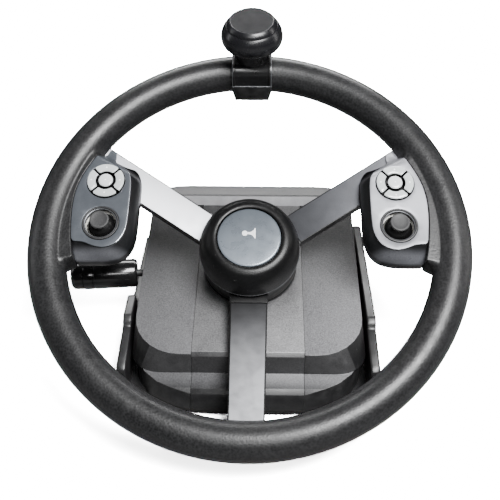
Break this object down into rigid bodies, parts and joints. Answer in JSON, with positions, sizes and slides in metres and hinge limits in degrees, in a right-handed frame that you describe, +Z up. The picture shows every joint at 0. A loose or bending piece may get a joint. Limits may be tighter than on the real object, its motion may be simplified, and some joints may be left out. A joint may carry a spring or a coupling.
{
  "type": "simulator steering wheel controller",
  "caption": "Desk-standing tractor and truck simulator steering wheel: tilted rim with spinner knob, two thumb-control pods, horn pad and a side lever on a wedge-shaped base.",
  "frame": {"origin": "centre of the underside of the rubber desk mat, on the desk surface", "axes": "+Z up, +Y away from the driver, +X to the driver's right; the steering axis leans 30 degrees from +Z towards the driver"},
  "size_m": [0.35, 0.3148, 0.256],
  "materials": {
    "grip_rubber": "fine pebble grain",
    "black_steel": "black powder coat",
    "satin_silver": "satin silver-grey lacquer",
    "badge_grey": "satin blue-grey disc",
    "shell_black": "fine spark texture",
    "panel_charcoal": "fine spark texture",
    "hub_black": "soft-touch fine grain",
    "pod_black": "semi-gloss",
    "knob_black": "semi-gloss",
    "lever_gloss": "gloss",
    "key_silver": "glossy light grey",
    "stick_rubber": "matte",
    "nylon": "natural nylon",
    "steel": "turned",
    "zinc": "zinc plated",
    "bronze": "sintered bronze",
    "alloy": "as cast",
    "circuit": "solder mask",
    "socket_metal": "nickel shell",
    "mat_rubber": "matte, fine ribs"
  },
  "bodies": {
    "base": {"desk_mat": "mat_rubber", "base_plate": "black_steel", "cheek_left": "shell_black", "cheek_right": "shell_black", "lower_shell": "shell_black", "upper_shell": "panel_charcoal", "centre_cover": "panel_charcoal", "rear_cover": "shell_black", "neck_collar": "shell_black", "bearing_block": "alloy", "shaft_bushes": "bronze", "main_board": "circuit", "usb_socket": "socket_metal", "gear_axle": "steel", "lever_bracket": "black_steel", "case_screws": "zinc"},
    "wheel": {"wheel_frame": "black_steel", "rim_grip": "grip_rubber", "spoke_cover_left": "satin_silver", "spoke_cover_right": "satin_silver", "spoke_cover_lower": "satin_silver", "hub_shell": "hub_black", "hub_skirt": "shell_black", "steering_shaft": "steel", "shaft_nut": "zinc", "hub_bolts": "zinc", "pod_body_left": "pod_black", "pod_body_right": "pod_black", "pod_plate_left": "satin_silver", "pod_plate_right": "satin_silver", "pod_boards": "circuit", "stick_housing_left": "pod_black", "stick_housing_right": "pod_black", "knob_clamp_upper": "pod_black", "knob_clamp_lower": "pod_black", "clamp_screws": "zinc", "knob_post": "steel"},
    "horn": {"horn_button": "badge_grey"},
    "knob": {"knob_shell": "knob_black", "knob_cap": "knob_black"},
    "stop_gear_body": {"stop_gear": "nylon"},
    "yoke": {"lever_yoke": "nylon"},
    "lever": {"lever_rod": "black_steel", "lever_grip": "lever_gloss", "lever_end_cap": "lever_gloss"},
    "ring_left": {"stick_ring_left": "nylon"},
    "stick_left_body": {"stick_left": "stick_rubber"},
    "left_up_body": {"left_button_up": "key_silver"},
    "left_right_body": {"left_button_right": "key_silver"},
    "left_down_body": {"left_button_down": "key_silver"},
    "left_left_body": {"left_button_left": "key_silver"},
    "left_centre_body": {"left_button_centre": "key_silver"},
    "ring_right": {"stick_ring_right": "nylon"},
    "stick_right_body": {"stick_right": "stick_rubber"},
    "right_up_body": {"right_button_up": "key_silver"},
    "right_right_body": {"right_button_right": "key_silver"},
    "right_down_body": {"right_button_down": "key_silver"},
    "right_left_body": {"right_button_left": "key_silver"},
    "right_centre_body": {"right_button_centre": "key_silver"}
  },
  "joints": [
    {"name": "wheel_spin", "type": "hinge", "parent": "base", "child": "wheel", "pos_m": [0, -0.024, 0.119], "axis": [0, -0.5, 0.866], "range_deg": [-450, 450]},
    {"name": "stop_gear_spin", "type": "hinge", "parent": "base", "child": "stop_gear_body", "pos_m": [0.04508, 0.025, 0.03413], "axis": [0, -0.5, 0.866], "range_deg": [-150, 150]},
    {"name": "horn_press", "type": "slide", "parent": "wheel", "child": "horn", "axis": [0, 0.5, -0.866], "range_m": [0, 0.0015], "stiffness_N_per_m": 800, "springref_m": -0.002},
    {"name": "knob_spin", "type": "hinge", "parent": "wheel", "child": "knob", "pos_m": [0, 0.11456, 0.199], "axis": [0, -0.2756, 0.9613], "continuous": true},
    {"name": "lever_swing", "type": "hinge", "parent": "base", "child": "yoke", "pos_m": [-0.078, 0.017, 0.054], "axis": [0, 0, 1], "range_deg": [-8, 8], "stiffness_Nm_per_rad": 0.4},
    {"name": "lever_lift", "type": "hinge", "parent": "yoke", "child": "lever", "pos_m": [-0.078, 0.017, 0.054], "axis": [-0.1045, 0.9945, 0], "range_deg": [-12, 12], "stiffness_Nm_per_rad": 0.4},
    {"name": "stick_left_sideways", "type": "hinge", "parent": "wheel", "child": "ring_left", "pos_m": [-0.1172, -0.01868, 0.12438], "axis": [0, 0.866, 0.5], "range_deg": [-18, 18], "stiffness_Nm_per_rad": 0.01},
    {"name": "stick_left_updown", "type": "hinge", "parent": "ring_left", "child": "stick_left_body", "pos_m": [-0.1172, -0.01868, 0.12438], "axis": [1, 0, 0], "range_deg": [-18, 18], "stiffness_Nm_per_rad": 0.01},
    {"name": "press_left_up", "type": "slide", "parent": "wheel", "child": "left_up_body", "axis": [0, 0.5, -0.866], "range_m": [0, 0.001], "stiffness_N_per_m": 900, "springref_m": -0.001},
    {"name": "press_left_right", "type": "slide", "parent": "wheel", "child": "left_right_body", "axis": [0, 0.5, -0.866], "range_m": [0, 0.001], "stiffness_N_per_m": 900, "springref_m": -0.001},
    {"name": "press_left_down", "type": "slide", "parent": "wheel", "child": "left_down_body", "axis": [0, 0.5, -0.866], "range_m": [0, 0.001], "stiffness_N_per_m": 900, "springref_m": -0.001},
    {"name": "press_left_left", "type": "slide", "parent": "wheel", "child": "left_left_body", "axis": [0, 0.5, -0.866], "range_m": [0, 0.001], "stiffness_N_per_m": 900, "springref_m": -0.001},
    {"name": "press_left_centre", "type": "slide", "parent": "wheel", "child": "left_centre_body", "axis": [0, 0.5, -0.866], "range_m": [0, 0.001], "stiffness_N_per_m": 900, "springref_m": -0.001},
    {"name": "stick_right_sideways", "type": "hinge", "parent": "wheel", "child": "ring_right", "pos_m": [0.1172, -0.01868, 0.12438], "axis": [0, 0.866, 0.5], "range_deg": [-18, 18], "stiffness_Nm_per_rad": 0.01},
    {"name": "stick_right_updown", "type": "hinge", "parent": "ring_right", "child": "stick_right_body", "pos_m": [0.1172, -0.01868, 0.12438], "axis": [1, 0, 0], "range_deg": [-18, 18], "stiffness_Nm_per_rad": 0.01},
    {"name": "press_right_up", "type": "slide", "parent": "wheel", "child": "right_up_body", "axis": [0, 0.5, -0.866], "range_m": [0, 0.001], "stiffness_N_per_m": 900, "springref_m": -0.001},
    {"name": "press_right_right", "type": "slide", "parent": "wheel", "child": "right_right_body", "axis": [0, 0.5, -0.866], "range_m": [0, 0.001], "stiffness_N_per_m": 900, "springref_m": -0.001},
    {"name": "press_right_down", "type": "slide", "parent": "wheel", "child": "right_down_body", "axis": [0, 0.5, -0.866], "range_m": [0, 0.001], "stiffness_N_per_m": 900, "springref_m": -0.001},
    {"name": "press_right_left", "type": "slide", "parent": "wheel", "child": "right_left_body", "axis": [0, 0.5, -0.866], "range_m": [0, 0.001], "stiffness_N_per_m": 900, "springref_m": -0.001},
    {"name": "press_right_centre", "type": "slide", "parent": "wheel", "child": "right_centre_body", "axis": [0, 0.5, -0.866], "range_m": [0, 0.001], "stiffness_N_per_m": 900, "springref_m": -0.001}
  ],
  "couplings": [
    {"joint": "stop_gear_spin", "follows": "wheel_spin", "ratio": -0.33333}
  ]
}
